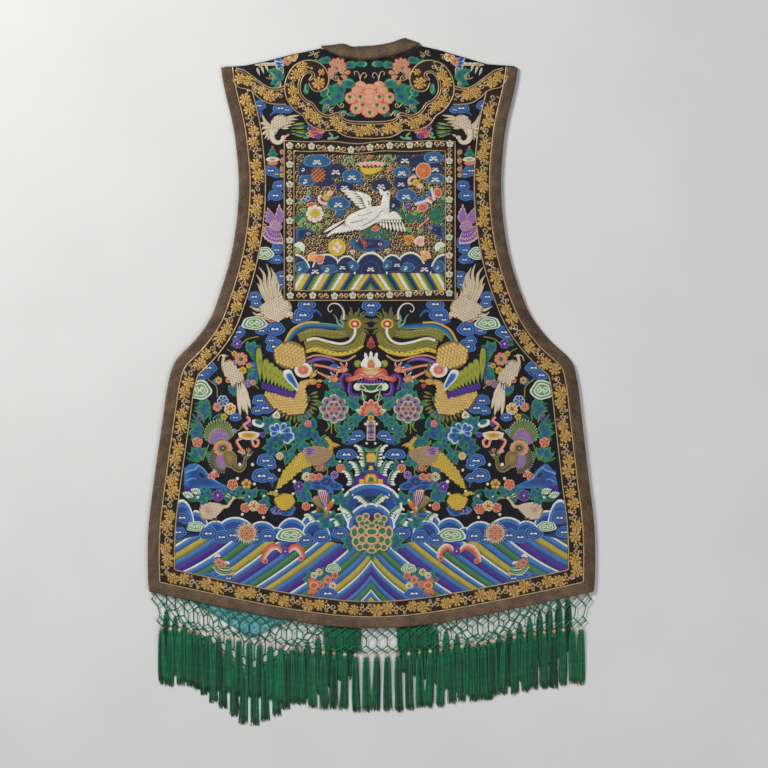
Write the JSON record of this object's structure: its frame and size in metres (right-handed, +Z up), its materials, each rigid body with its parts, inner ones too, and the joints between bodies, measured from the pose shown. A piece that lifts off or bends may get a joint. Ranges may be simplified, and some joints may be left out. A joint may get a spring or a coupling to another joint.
{
  "type": "embroidered court vest",
  "caption": "Long sleeveless court vest (xiapei) laid flat with its back up: embroidered satin, square rank badge, woven edge binding, knotted net and tassel fringe at a pointed hem.",
  "frame": {"origin": "under the middle of the vest's box, on the surface it lies on", "axes": "+Y towards the neck, +X to the right as seen from above with the neck away, +Z up"},
  "size_m": [0.7378, 1.1376, 0.0085],
  "materials": {
    "navy_satin": "blue-black silk satin worked all over in coloured silk satin stitch",
    "teal_lining": "teal silk damask lining",
    "metal_braid": "brown woven binding with dulled metal thread",
    "gold_band": "black satin band with couched gold thread scrolls and flowers",
    "badge_embroidery": "silk and couched gold embroidery",
    "green_silk": "dark green twisted silk cord and floss"
  },
  "bodies": {
    "root": {"back_panel": "navy_satin", "front_left": "navy_satin", "front_right": "navy_satin", "front_lining_left": "teal_lining", "edge_binding": "metal_braid", "neck_binding": "metal_braid", "border_band": "gold_band", "scroll_band": "gold_band", "wing_left": "gold_band", "wing_right": "gold_band", "badge_border": "gold_band", "rank_badge": "badge_embroidery", "net_back": "green_silk", "net_front_left": "green_silk", "net_front_right": "green_silk", "fringe_front_left": "green_silk", "fringe_front_right": "green_silk", "tassel_01": "green_silk", "tassel_02": "green_silk", "tassel_03": "green_silk", "tassel_04": "green_silk", "tassel_05": "green_silk", "tassel_06": "green_silk", "tassel_07": "green_silk", "tassel_08": "green_silk", "tassel_09": "green_silk", "tassel_10": "green_silk", "tassel_11": "green_silk", "tassel_12": "green_silk", "tassel_13": "green_silk", "tassel_14": "green_silk", "tassel_15": "green_silk", "tassel_16": "green_silk", "tassel_17": "green_silk", "tassel_18": "green_silk", "tassel_19": "green_silk", "tassel_20": "green_silk", "tassel_21": "green_silk", "tassel_22": "green_silk", "tassel_23": "green_silk", "tassel_24": "green_silk", "tassel_25": "green_silk", "tassel_26": "green_silk", "tassel_27": "green_silk", "tassel_28": "green_silk", "tassel_29": "green_silk", "tassel_30": "green_silk", "tassel_31": "green_silk", "tassel_32": "green_silk", "tassel_33": "green_silk", "tassel_34": "green_silk", "tassel_35": "green_silk", "tassel_36": "green_silk", "tassel_37": "green_silk", "tassel_38": "green_silk", "tassel_39": "green_silk", "tassel_40": "green_silk", "tassel_41": "green_silk", "tassel_42": "green_silk"}
  },
  "joints": []
}
